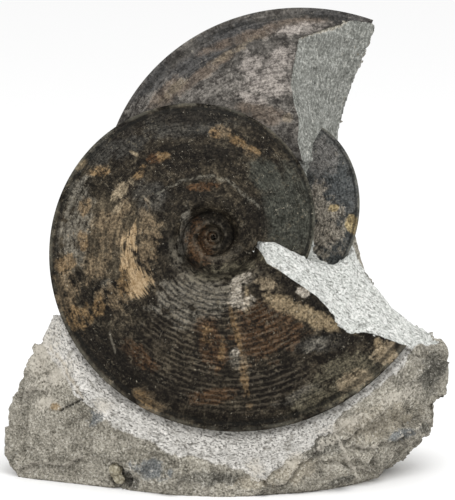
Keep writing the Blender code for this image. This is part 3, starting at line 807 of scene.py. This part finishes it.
MAIN_PATCHES = {
    # The first kind is painted sheen: a lighter wash over the left of the disc, where the shell catches the
    # light.
    "left_sheen": ((106, 236, 30, 44, 0), (140, 220, 18, 26, 10), (72, 236, 16, 40, 4)),
    "green": ((291, 214, 27, 44, -8), (268, 178, 22, 14, 40)),
    "slate": ((190, 122, 48, 15, -6), (110, 145, 30, 12, -40), (132, 146, 18, 8, -30),
        (186, 131, 20, 6, -10), (150, 198, 16, 18, 40), (320, 344, 30, 8, -8)),
    # One black patch, at (256, 212), is painted shadow under the flaked step; the rest are dark shell.
    "black": ((108, 353, 32, 19, 35), (164, 388, 26, 12, 22), (293, 290, 12, 11, 40),
        (318, 305, 18, 6, 42), (272, 384, 28, 15, -14), (200, 152, 44, 7, 4), (250, 424, 40, 8, -6),
        (340, 342, 16, 9, -10), (256, 212, 9, 22, -25), (190, 150, 26, 4, -3), (200, 116, 46, 8, -4),
        (128, 128, 22, 7, -38)),
    "russet": ((210, 340, 12, 22, -10), (266, 332, 34, 26, -20), (138, 356, 20, 8, 38),
        (200, 243, 12, 20, 0), (202, 187, 13, 4, -5), (153, 159, 7, 5, -10), (222, 356, 7, 16, 10),
        (214, 396, 26, 7, -8)),
    "grey": ((196, 298, 36, 22, -10), (236, 358, 10, 9, 0), (106, 284, 6, 5, 0), (76, 226, 14, 42, 8),
        (184, 240, 5, 26, 8), (300, 396, 24, 6, -25), (320, 344, 16, 5, -8)),
    "brown": ((110, 232, 17, 18, 0), (100, 260, 12, 20, 10), (67, 290, 10, 20, -5),
        (114, 296, 16, 12, 20), (148, 402, 16, 10, 38), (243, 357, 4, 44, -6), (222, 132, 9, 6, 10),
        (250, 152, 8, 5, 25), (98, 170, 9, 4, -10), (126, 210, 10, 8, -40), (148, 240, 10, 30, 0)),
    "olive": ((350, 376, 34, 18, -24), (312, 400, 22, 9, -25), (276, 262, 20, 7, 20),
        (225, 272, 34, 8, -12)),
    "gold": ((128, 276, 5, 12, -24), (85, 207, 6, 9, 10), (83, 240, 6, 9, -15), (66, 263, 9, 8, 0),
        (78, 318, 11, 12, 10), (163, 156, 5, 4, -10), (141, 171, 4, 8, 40), (99, 171, 8, 4, 0),
        (125, 286, 7, 9, -20), (145, 402, 12, 6, 38), (238, 141, 9, 5, 30), (216, 134, 5, 5, 0),
        (254, 150, 6, 4, 20), (100, 306, 6, 9, 10), (208, 336, 5, 10, 0), (222, 352, 3, 13, 8),
        (236, 330, 3, 22, -14), (246, 384, 3, 16, -10)),
    "tan": ((284, 304, 20, 8, 24), (314, 318, 24, 8, 22), (380, 348, 5, 11, -20), (392, 356, 3, 8, 20),
        (247, 300, 3, 12, 0), (82, 165, 7, 3, -40)),
    "beige": ((121, 191, 6, 12, 45), (134, 153, 6, 2, 30), (118, 208, 7, 3, -45), (268, 284, 12, 7, 20),
        (354, 380, 18, 9, -22), (384, 352, 13, 10, -20)),
    # The thin cream streak at (50, 220), along the left keel, is painted sheen.
    "cream": ((242, 300, 11, 7, 0), (236, 288, 5, 13, 10), (304, 292, 7, 4, 30), (50, 220, 2, 22, 8),
        (236, 352, 4, 4, 0), (247, 277, 7, 5, -40)),
    "streak": ((131, 262, 7, 26, -12), (139, 281, 11, 13, -32), (134, 234, 3, 12, 8)),
}
STEP_LINE = (
   (160, 193), (172, 186), (183, 180), (197, 177), (214, 176), (223, 179), (234, 184), (243, 194),
    (258, 205), (269, 218), (266, 228), (262, 236),
)
STEP_INSIDE = ((262, 250), (205, 275), (150, 225))  # closes the flaked patch that the line edges
# The pale edge is a painted highlight.
PALE_STEPS = 9  # how many of the line's points have a pale edge
# The pale rim is a painted highlight on the lower wall of the inner opening, which faces up into the light.
RIM_START = (170, 205)  # degrees over which the pale rim of the inner opening begins,
RIM_END = (335, 300)  # and over which it ends
SCARS = (((110, 332), (112, 340), (116, 352)), ((144, 196), (152, 204)))
THREADED = ((222, 345, 88, 72, 0), (250, 385, 64, 32, -12), (190, 300, 40, 30, 0))

# The colours of each kind of patch: low, high, raggedness, strength, and how whole its inside is.
MAIN_TONES = {
    "body": ((0.38, (10, 8, 6)), (0.45, (21, 18, 14)), (0.50, (36, 32, 26)),
             (0.55, (59, 53, 43)), (0.61, (98, 89, 74)), (0.70, (154, 142, 121))),
    "patches": (
        # painted sheen over the left of the disc
        ("left_sheen", (66, 59, 47), (104, 94, 77), 3.0, 0.5, 1.0),
        ("slate", (20, 20, 18), (76, 74, 69), 4.0, 0.75, 0.4),
        ("green", (36, 37, 32), (74, 75, 68), 2.4, 0.85, 1.0),
        ("grey", (52, 50, 45), (134, 129, 118), 6.0, 0.62, 0.3),
        ("olive", (36, 34, 27), (108, 102, 85), 5.0, 0.75, 0.35),
        ("brown", (74, 63, 49), (132, 115, 91), 6.0, 0.65, 0.22),
        ("russet", (22, 17, 12), (89, 65, 44), 5.0, 0.8, 0.3),
        ("black", (10, 9, 7), (36, 32, 27), 4.0, 0.8, 0.5),
        ("gold", (78, 61, 40), (134, 110, 78), 6.0, 0.65, 0.25),
        ("tan", (98, 85, 65), (158, 141, 113), 3.0, 0.8, 0.8),
        ("beige", (90, 79, 63), (160, 145, 121), 4.5, 0.75, 0.45),
        ("cream", (94, 86, 74), (206, 197, 182), 5.0, 0.75, 0.4),
        ("streak", (140, 116, 84), (190, 166, 132), 4.5, 0.8, 0.5),
    ),
}
MAIN_WEAR = {"threads": True, "flecks": 0.65, "scratches": 0.3, "pits": 0.85, "groove": 0.6, "crest": 0.25,
             "flakes": 0.5, "flake_tone": (112, 104, 88), "flow": (20, 3.2, 40), "soft": 0.32,
             "grit": 0.36, "rough": (0.36, 0.66), "specular": 0.06}
REAR_PATCHES = {
    "slate": ((200, 60, 70, 10, -38), (150, 86, 30, 8, -50), (334, 16, 34, 7, 6), (240, 32, 40, 8, -16)),
    "russet": ((200, 76, 46, 5, -36), (250, 36, 50, 5, -18), (165, 92, 20, 5, -45),
        (262, 112, 24, 9, 15), (300, 22, 30, 4, -5)),
    "pink": ((268, 82, 23, 15, 10), (280, 60, 16, 11, -20), (300, 28, 24, 6, -8), (252, 66, 11, 10, 0),
        (252, 98, 16, 5, 15)),
    "mottled": ((230, 88, 60, 14, 0), (280, 120, 26, 16, 30), (200, 92, 34, 8, 0),
        (140, 106, 20, 7, -35)),
    "tan": ((176, 88, 14, 4, -40), (232, 52, 24, 3, -30), (288, 118, 6, 4, 0)),
}
REAR_TONES = {
    "body": ((0.38, (30, 28, 27)), (0.45, (54, 51, 48)), (0.50, (76, 73, 69)),
             (0.56, (100, 96, 91)), (0.64, (138, 133, 126))),
    "patches": (
        ("slate", (34, 34, 34), (84, 83, 82), 4.0, 0.85, 0.45),
        ("mottled", (44, 40, 37), (138, 133, 126), 5.0, 0.8, 0.3),
        ("russet", (76, 64, 54), (124, 107, 91), 4.0, 0.55, 0.35),
        ("tan", (92, 82, 68), (148, 136, 117), 5.0, 0.6, 0.3),
        ("pink", (88, 82, 78), (176, 168, 160), 5.0, 0.75, 0.55),
    ),
}
REAR_WEAR = {"threads": False, "flecks": 0.5, "scratches": 0.3, "pits": 0.7, "groove": 0.35, "crest": 0.0,
             "flakes": 0.4, "flake_tone": (150, 144, 136), "flow": (12, 6, 40), "soft": 0.45,
             "grit": 0.15, "rough": (0.5, 0.78), "specular": 0.08}
SIDE_PATCHES = {
    "slate": ((338, 190, 20, 26, 10), (335, 258, 18, 12, 10)),
    "pink": ((322, 156, 16, 18, -20), (320, 188, 8, 10, 0)),
    "mottled": ((326, 226, 18, 24, 0), (318, 200, 8, 16, 0)),
    "tan": ((353, 225, 6, 10, -10), (334, 208, 5, 3, -20)),
}
SIDE_TONES = {
    "body": ((0.38, (26, 26, 26)), (0.45, (50, 51, 50)), (0.50, (74, 75, 73)),
             (0.56, (92, 91, 88)), (0.64, (128, 125, 118))),
    "patches": (
        ("slate", (34, 37, 38), (86, 89, 89), 3.0, 0.75, 0.6),
        ("pink", (60, 58, 56), (118, 115, 111), 4.0, 0.7, 0.4),
        ("mottled", (56, 50, 43), (160, 152, 138), 6.0, 0.85, 0.35),
        ("tan", (112, 94, 64), (176, 158, 116), 4.0, 0.8, 0.6),
    ),
}
SIDE_WEAR = {"threads": False, "flecks": 0.45, "scratches": 0.35, "pits": 0.65, "groove": 0.6, "crest": 0.5,
             "flakes": 0.5, "flake_tone": (122, 117, 108), "flow": (9, 6, 40), "soft": 0.25,
             "grit": 0.4, "rough": (0.45, 0.7), "specular": 0.08}
# Where the worked face hides the small shell, in photograph pixels.
SIDE_EDGE = ((323.6, 126.0), (314.0, 142.5), (307.6, 155.0), (304.0, 168.0))


def forward(s):
    """How far a growth line leans forward along the coil, in degrees, across the whorl."""
    return 5 * np.sin(np.clip(s, 0, 1) * math.pi * 0.9) - 2 + 9 * np.clip(s - 0.7, 0, 1) ** 1.5 * 3


def bump_round(s, middle, width):
    """1 at the middle, falling away on both sides."""
    return np.exp(-((s - middle) / width) ** 2)


def grown(places, way, swell, patches, seeds):
    """The shell's own coordinates, its swells and growth lines, and its patches and their wobble."""
    s, point = places["s"], places["point"]
    along = (way * places["angle"] - forward(s)) * ALONG
    shell = np.stack([along, s * ACROSS, places["side"] * SIDES], -1)
    growth = rough_noise(shell * (1, 0.05, 1), 2.6, seeds[1], 2)
    broad_growth = soft_noise(shell * (1, 0.03, 1), 9.0, seeds[2])
    lift = swell[0] * rough_noise(point, swell[1], seeds[0], 4, 0.55)
    lift += places["size"] * (0.09 * growth + 0.12 * broad_growth)
    masks = {kind: patch_mask(places["px"], places["py"], group) for kind, group in patches.items()}
    return shell, lift, masks, 0.35 * rough_noise(point, 5.0, seeds[3], 3)


def painted(places, shell, masks):
    """The attributes that every shell's material reads. Patches are on its front alone."""
    facing = np.where(places["side"] > 0, 0.0, 2.0)
    attributes = {kind: mask - facing for kind, mask in masks.items()}
    attributes.update({"shell": shell, "across": places["s"]})
    return attributes


def main_relief(places):
    """Growth lines, spiral threads, flaked patches and the paint masks of the large shell."""
    s, angle, px, py = places["s"], places["angle"], places["px"], places["py"]
    shell, lift, masks, wobble = grown(places, 1, (0.16, 9.0), MAIN_PATCHES, (101, 111, 115, 131))
    lift -= 0.4 * smooth(np.maximum(masks["tan"], masks["streak"]) + wobble, 0.0, 0.2)
    for kind, depth in (("beige", 0.3), ("cream", 0.25), ("black", -0.2)):
        lift -= depth * smooth(masks[kind] + wobble, 0.0, 0.2)
    flaked = inside_distance(px, py, STEP_LINE + STEP_INSIDE)
    flaked += 1.5 * rough_noise(places["point"], 4.0, 141, 3)
    lift -= 0.55 * smooth(flaked, -0.6, 0.8) * smooth(s, 0.13, 0.2) * (angle > 0)
    # Painted highlight: a pale line along the edge of the flaked step, where it catches the light.
    step = smooth(np.abs(flaked), 2.2, 0.3)
    step = step * smooth(line_distance(px, py, STEP_LINE[:PALE_STEPS]), 6.0, 3.0)
    scars = np.minimum.reduce([line_distance(px, py, scar) for scar in SCARS])
    lift -= 0.3 * smooth(scars, 1.6, 0.4)
    lift -= 0.45 * places["size"] * bump_round(s, KEEL_GROOVE, 0.009)
    lift *= smooth(s, 1.0, KEEL_FADE)
    lift = np.where(places["side"] > 0, lift, 0.5 * lift)

    older = angle < MAIN_END - 360
    # Painted shade: dark at the foot of the inner opening's wall, and along each older whorl where the next
    # one laps it, standing in for the shadow in these seams.
    seam_shade = smooth(s, 0.05, 0.0) * np.where(older, 0.4, 0.85)
    seam_shade = np.maximum(seam_shade, 0.5 * older * smooth(np.abs(s - SEAM), 0.035, 0.005))
    # Painted highlight on the upward-facing lower rim of the inner opening, and a paler band round each
    # older whorl's shoulder.
    rim_highlight = bump_round(s, 0.085, 0.035) * smooth(angle, *RIM_START) * smooth(angle, *RIM_END)
    rim_highlight = np.maximum(rim_highlight, older * bump_round(s, 0.1, 0.05) * 0.6)
    threaded = smooth(patch_mask(px, py, THREADED), -0.1, 0.35) * smooth(s, 0.95, 0.85)
    attributes = painted(places, shell, masks)
    attributes.update({"step": step, "scar": smooth(scars, 1.3, 0.3), "threads": threaded, "seam_shade": seam_shade,
                       "rim_highlight": rim_highlight})
    return lift, attributes


def plain_relief(patches, seeds):
    """Growth lines and paint masks for a shell that shows part of one whorl."""

    def relief(places):
        shell, lift, masks, wobble = grown(places, -1, (0.2, 10.0), patches, seeds)
        for kind in ("pink", "tan"):
            lift -= 0.3 * smooth(masks[kind] + wobble, 0.0, 0.2)
        lift -= 0.45 * places["size"] * bump_round(places["s"], KEEL_GROOVE, 0.011)
        return lift * smooth(places["s"], 1.0, KEEL_FADE), painted(places, shell, masks)

    return relief


def make_main():
    """The last whorl of the large shell, and the older whorls inside its opening."""
    mouth = edge_angle(MAIN, MOUTH_EDGE, 0.25, 3, turns=1)
    older = edge_angle(MAIN, OLDER_EDGE, 0.25, 5)

    def start(s):
        return np.where(s < SEAM * 0.98, MAIN_END - 360, older(s))

    rows = spaced((0.0, OPENING_EDGE, 10), (OPENING_EDGE, SEAM, 14), (SEAM, 0.9, 46), (0.9, 0.96, 9),
                  (0.96, 1.0, 9))
    last = whorl("main_last_whorl", MAIN, 800, start, mouth, rows, MAIN_BACK_ROWS, main_relief)
    rows = spaced((0.0, OPENING_EDGE, 9), (OPENING_EDGE, SEAM, 14))
    rows = np.concatenate([rows, [0.36, 0.5, 0.75, 1.0]])
    whorls = [last]
    for turn, columns in ((1, 420), (2, 260), (3, 140)):
        ends = [constant(MAIN_END - 360 * (turn + 1)), constant(MAIN_END - 360 * turn)]
        name = "main_older_whorl_" + str(turn)
        whorls.append(whorl(name, MAIN, columns, *ends, rows, OLDER_BACK_ROWS, main_relief))
    return whorls


def make_rear():
    """The larger shell behind, up to its broken end."""
    rows = spaced((0.12, 0.3, 8), (0.3, 0.9, 72), (0.9, 1.0, 20))
    relief = plain_relief(REAR_PATCHES, (201, 211, 216, 221))
    end = edge_angle(REAR, REAR_EDGE, 0.2, 7)
    return whorl("rear_whorl", REAR, 420, constant(REAR_START), end, rows, BACK_ROWS, relief)


def side_start(s):
    """The angle at which each row of the small shell comes out from behind the worked face."""
    edge_x, edge_y = zip(*SIDE_EDGE)
    angle = np.linspace(*SIDE_SPAN, 400)
    radius = coil_at(SIDE, angle)
    found = []
    for share in s:
        tall = SIDE["thick"] * radius * (1 - share ** FLANK_POWER)
        rho = radius * (UMBILICUS + (1 - UMBILICUS) * share)
        px, py = to_pixels(*on_coil(SIDE, angle, rho, tall))
        behind = (px < np.interp(py, edge_y, edge_x)) & (py < edge_y[-1])
        found.append(angle[np.flatnonzero(behind)[-1]] if behind.any() else SIDE_SPAN[0])
    return np.array(found)


def make_side():
    """The smaller shell at the right."""
    rows = spaced((0.12, 0.9, 64), (0.9, 1.0, 16))
    relief = plain_relief(SIDE_PATCHES, (301, 311, 316, 321))
    return whorl("side_whorl", SIDE, 300, side_start, constant(SIDE_SPAN[1]), rows, BACK_ROWS, relief)


def shell_material(name, tones, wear):
    """Mineral shell: streaked along its growth lines, threaded along its coil, and patched."""
    stone = Stone(name)
    own = {"where": stone.attribute("shell", "Vector"), "unit": 1.0}
    blotch = stone.noise(13, 5, 0.62)
    middle = stone.noise(4.4, 6, 0.7, distortion=0.5)
    fine = stone.noise(1.5, 4, 0.7)
    streak = stone.noise(1.0, 5, 0.66, stretch=(1.6, 18, 40), distortion=0.6, **own)
    flow = stone.noise(1.0, 5, 0.62, stretch=wear["flow"], distortion=0.5, **own)
    wisps = stone.noise(1.0, 3, 0.6, stretch=(16, 1.1, 40), distortion=0.4, **own)
    lobes = stone.noise(8.5, 4, 0.58, distortion=0.8)
    ragged = stone.blend((lobes, 0.4), (middle, 0.35), (flow, 0.25))
    fibres = stone.blend((lobes, 0.55), (wisps, 0.45))

    mixed = stone.blend((middle, 0.4), (blotch, 0.25), (fine, 0.17), (streak, 0.08), (wisps, 0.1))
    inner = stone.blend((fine, 0.35), (middle, 0.25), (flow, 0.15), (wisps, 0.25))
    inner = stone.step(inner, 0.41, 0.59)
    grit = stone.step(stone.noise(1.3, 2, 0.6), 0.36, 0.64, 1 - wear["grit"], 1 + wear["grit"])
    colour = stone.mix(1.0, stone.ramp(mixed, tones["body"]), grit, "MULTIPLY")
    for kind, low, high, ragging, strength, fill in tones["patches"]:
        tone = stone.mix(inner, low, high)
        if kind == "streak":
            grain = fibres
        else:
            grain = ragged
            tone = stone.mix(1.0, tone, grit, "MULTIPLY")
        share = stone.patchy(kind, grain, ragging, wear["soft"], fill=fill)
        colour = stone.cover(colour, (share, strength, tone))

    relief = [(fine, 0.45), (streak, 0.25), (middle, 0.8)]
    if wear["threads"]:
        wavy = stone.blend((stone.attribute("across"), THREADS), (lobes, 1.4))
        wave = stone.sum("SINE", stone.times(wavy, 2 * math.pi))
        present = stone.times(stone.attribute("threads"), stone.step(ragged, 0.42, 0.56, 0.1, 1.0))
        relief.append((stone.times(wave, present), 0.1))
        colour = stone.cover(
            colour,
            (stone.times(stone.step(wave, 0.1, 0.9), present), 0.22, (132, 121, 104)),
            (stone.times(stone.step(wave, 0.0, -0.8), present), 0.55, (16, 13, 10)),
            # painted highlight along the flaked step's edge
            (stone.times(stone.attribute("step"), stone.step(fine, 0.4, 0.55)), 0.6, (128, 124, 112)),
            (stone.attribute("scar"), 0.35, (150, 143, 128)),
            # painted highlight on the lower rim of the inner opening
            (stone.times(stone.attribute("rim_highlight"), stone.step(middle, 0.42, 0.58)), 0.6, (112, 106, 94)),
            # painted shade in the seams of the inner opening
            (stone.attribute("seam_shade"), 0.85, (14, 12, 11)),
        )
    flecks = stone.noise(1.1, 2, 0.5, distortion=1.0)
    gate = stone.noise(11, 3, 0.6)
    flakes = stone.noise(3.0, 5, 0.7, distortion=0.8)
    pits = stone.noise(2.4, 5, 0.72)
    keel = stone.attribute("across")
    colour = stone.cover(
        colour,
        (stone.both((flecks, 0.66, 0.74), (gate, 0.42, 0.6)), wear["flecks"], (186, 178, 160)),
        (stone.both((streak, 0.64, 0.74), (gate, 0.42, 0.58)), wear["scratches"], (150, 142, 126)),
        (stone.both((flakes, 0.55, 0.66), (lobes, 0.42, 0.58)), wear["flakes"], wear["flake_tone"]),
        (stone.step(pits, 0.45, 0.33), wear["pits"], (14, 12, 10)),
        (stone.both((keel, 0.925, 0.945), (keel, 0.97, 0.955)), wear["groove"], (24, 24, 22)),
        (stone.both((keel, 0.965, 0.985), (blotch, 0.4, 0.6)), wear["crest"], (122, 120, 108)),
    )
    roughness = stone.step(stone.blend((fine, 0.5), (middle, 0.5)), 0.35, 0.65, *wear["rough"])
    return stone.finish(colour, roughness, stone.blend(*relief), depth=0.6, specular=wear["specular"])


# ---- the small fossil


def make_small_fossil():
    """The pale knob in the hollow at the foot, roughened."""
    low, shape = grid_round(*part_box("small_fossil")[:2], FOSSIL_VOXEL)
    values = distance_grid("small_fossil", low, shape, FOSSIL_VOXEL)
    points, faces, normals = mesh_from_grid(values, low, FOSSIL_VOXEL)
    near, _, marks = cells(points, 2.6, 401)
    move = 0.5 * rough_noise(points, 3.0, 411, 4, 0.6) + 0.7 * (marks[:, 0] - 0.5) * smooth(near, 0.8, 0.4)
    return make_object("fossil_knob", points + normals * move[:, None], faces)


def fossil_material():
    """Pale greenish mineral with bright crystal faces."""
    stone = Stone("pale_mineral")
    middle = stone.noise(2.2, 4, 0.6)
    fine = stone.noise(0.7, 3, 0.6)
    colour = stone.ramp(middle, ((0.32, (92, 84, 66)), (0.5, (142, 134, 112)), (0.66, (196, 190, 170))))
    colour = stone.cover(colour, (stone.step(fine, 0.62, 0.7), 1.0, (226, 222, 208)))
    return stone.finish(colour, stone.step(fine, 0.35, 0.65, 0.3, 0.7), fine, depth=0.5)


# ---- putting it together


def dress(obj, material, slot, *nodes):
    """Gives a piece its finish, and ties it to the frame."""
    obj.data.materials.clear()
    obj.data.materials.append(material)
    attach(obj, "root")
    if nodes:
        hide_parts(*nodes)


dress(make_rock(), rock_material(), "matrix_rock", "matrix_rock")
main_stone = shell_material("main_shell", MAIN_TONES, MAIN_WEAR)
last_whorl, *older_whorls = make_main()
dress(last_whorl, main_stone, "main_ammonite", "main_ammonite")
for older_whorl in older_whorls:
    dress(older_whorl, main_stone, "main_ammonite")
dress(make_rear(), shell_material("rear_shell", REAR_TONES, REAR_WEAR), "rear_ammonite", "rear_ammonite")
dress(make_side(), shell_material("side_shell", SIDE_TONES, SIDE_WEAR), "side_ammonite", "side_ammonite")
dress(make_small_fossil(), fossil_material(), "small_fossil", "small_fossil")


# ---- floor, light and camera

FLOOR_HALF = 7.0  # metres, as are the lamps' places and sizes
LAMPS_AIM = (0, 0, 0.14)


def make_floor():
    """A plain pale floor."""
    mesh = bpy.data.meshes.new("floor")
    corners = [(x * FLOOR_HALF, y * FLOOR_HALF, 0) for x, y in ((-1, -1), (1, -1), (1, 1), (-1, 1))]
    mesh.from_pydata(corners, [], [(0, 1, 2, 3)])
    floor = add_object("floor", mesh)
    pale = bpy.data.materials.new("pale_floor")
    pale.use_nodes = True
    shader = pale.node_tree.nodes["Principled BSDF"]
    shader.inputs["Base Color"].default_value = (0.93, 0.93, 0.93, 1.0)
    shader.inputs["Roughness"].default_value = 1.0
    shader.inputs["Specular IOR Level"].default_value = 0.0
    mesh.materials.append(pale)


def make_light(name, place, size, power):
    """A soft square lamp that faces the middle of the block."""
    lamp = bpy.data.lights.new(name, "AREA")
    lamp.size = size
    lamp.energy = power
    obj = add_object(name, lamp)
    obj.location = place
    obj.rotation_euler = (Vector(LAMPS_AIM) - Vector(place)).to_track_quat("-Z", "Y").to_euler()


def make_studio():
    """White surroundings with one broad lamp above and a weaker one at the front left."""
    world = bpy.data.worlds.new("studio")
    world.use_nodes = True
    world.node_tree.nodes["Background"].inputs["Color"].default_value = (1.0, 1.0, 1.0, 1.0)
    world.node_tree.nodes["Background"].inputs["Strength"].default_value = 1.0
    bpy.context.scene.world = world
    make_light("key", (0.3, -0.8, 1.6), 1.1, 14)
    make_light("fill", (-1.2, -1.2, 0.9), 1.0, 3)
    bpy.context.scene.view_settings.view_transform = "Standard"


def make_camera():
    """The photograph's view, square to the leaning plane."""
    camera = bpy.data.cameras.new("camera")
    camera.sensor_width = 36.0
    camera.lens = camera.sensor_width * VIEW_DISTANCE / VIEW_HEIGHT
    camera.clip_end = 50.0
    obj = add_object("camera", camera)
    obj.location = leaning_to_world(0.0, VIEW_UP, VIEW_DISTANCE) * MM
    obj.rotation_euler = (math.pi / 2 - LEAN, 0, 0)
    bpy.context.scene.camera = obj


make_floor()
make_studio()
make_camera()
